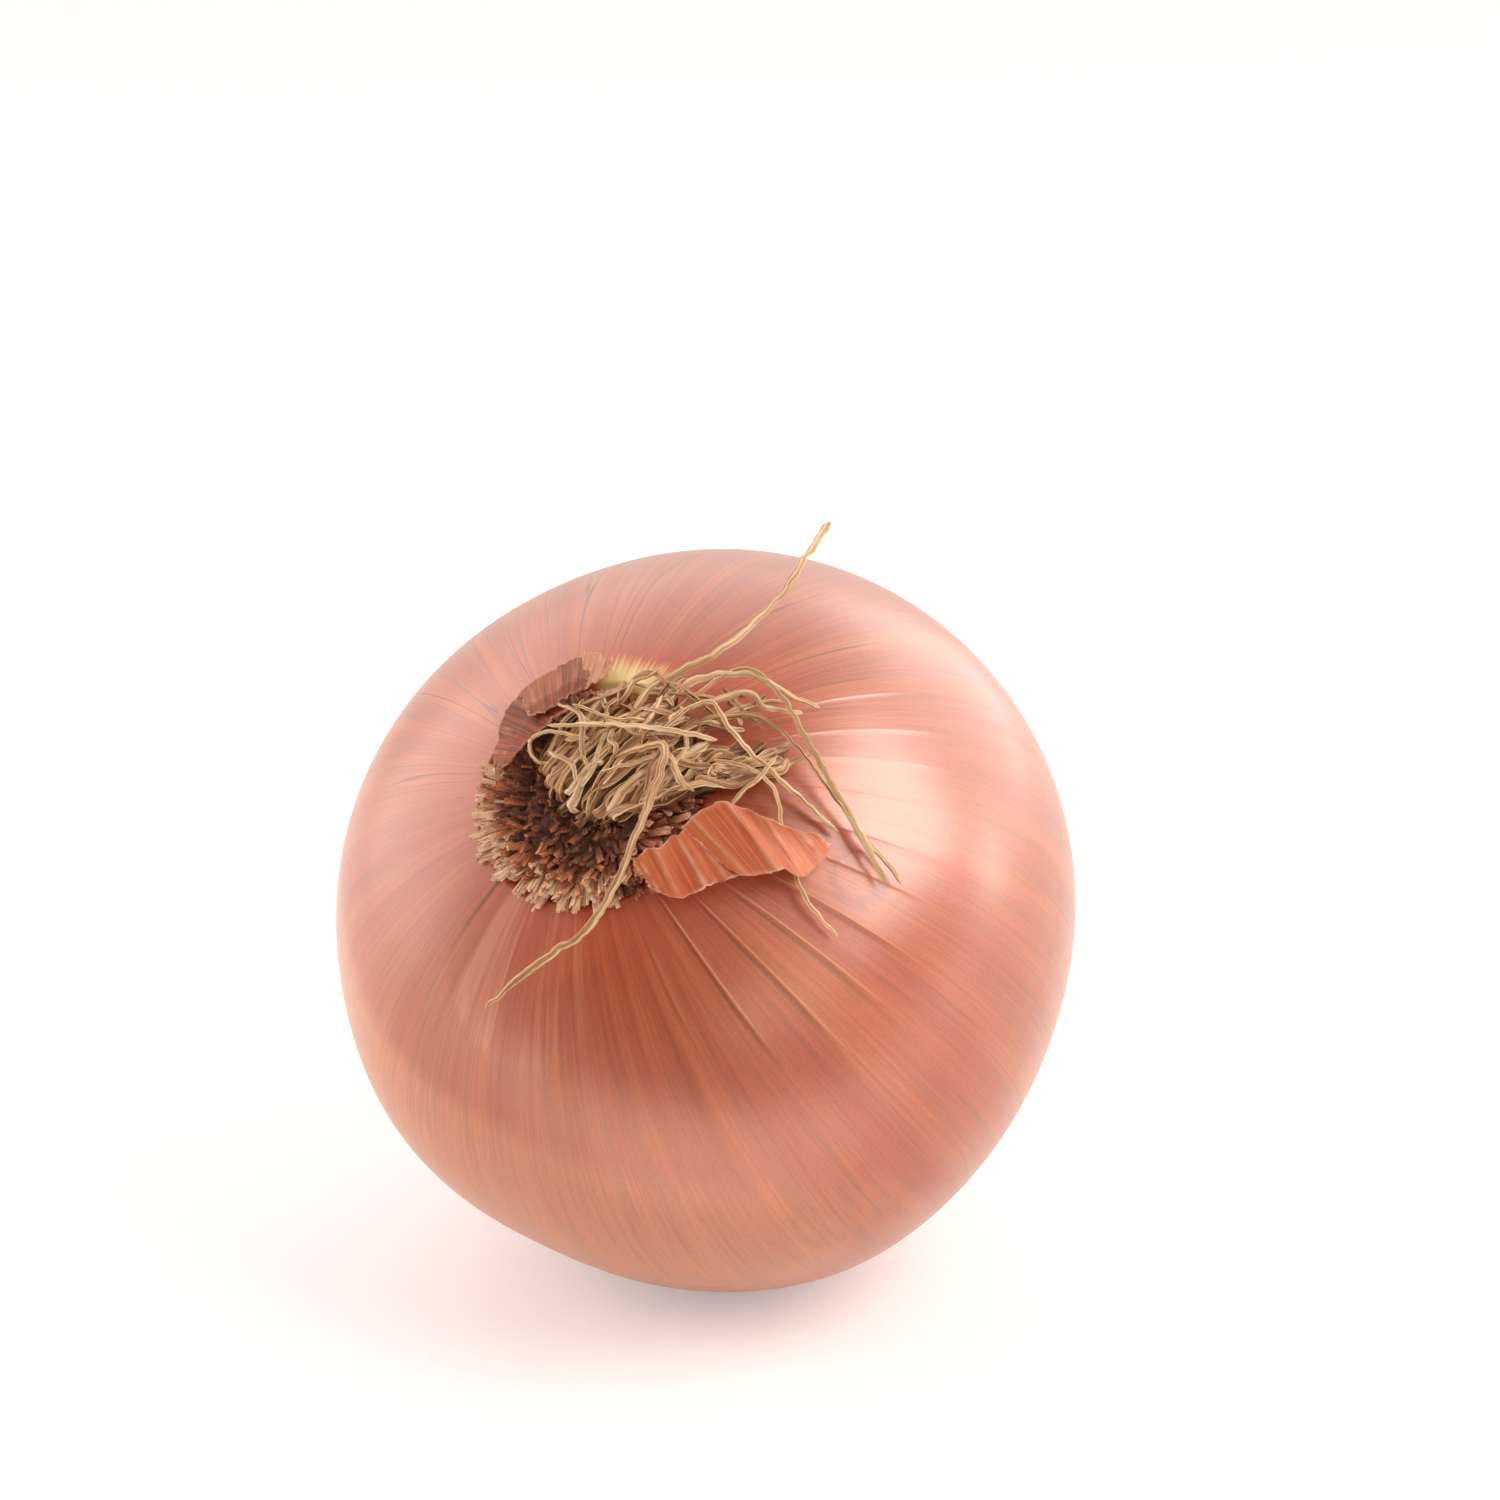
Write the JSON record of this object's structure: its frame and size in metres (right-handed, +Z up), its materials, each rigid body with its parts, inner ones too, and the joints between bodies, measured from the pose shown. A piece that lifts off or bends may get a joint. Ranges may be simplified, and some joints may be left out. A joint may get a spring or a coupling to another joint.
{
  "type": "onion",
  "caption": "Whole brown onion lying on its side, with a frayed root plate, matted dry roots, torn skin scraps and a dry leafy neck.",
  "frame": {"origin": "middle of the small flat spot that the bulb rests on, in the plane of the surface", "axes": "+Z up; the root end faces up and to the front left (-Y, -X), and the neck points down and to the back right"},
  "size_m": [0.0798, 0.0859, 0.0869],
  "materials": {
    "onion_skin": "satin, papery and slightly glossy",
    "root_plate_cork": "rough, corky",
    "dry_root": "dry, matt",
    "torn_skin": "dry, papery",
    "torn_skin_old": "dry, matt",
    "neck_leaf": "dry, papery"
  },
  "bodies": {
    "root": {"bulb": "onion_skin", "root_plate": "root_plate_cork", "roots": "dry_root", "torn_skin_flap": "torn_skin", "torn_skin_collar": "torn_skin_old", "neck_leaves": "neck_leaf"}
  },
  "joints": []
}
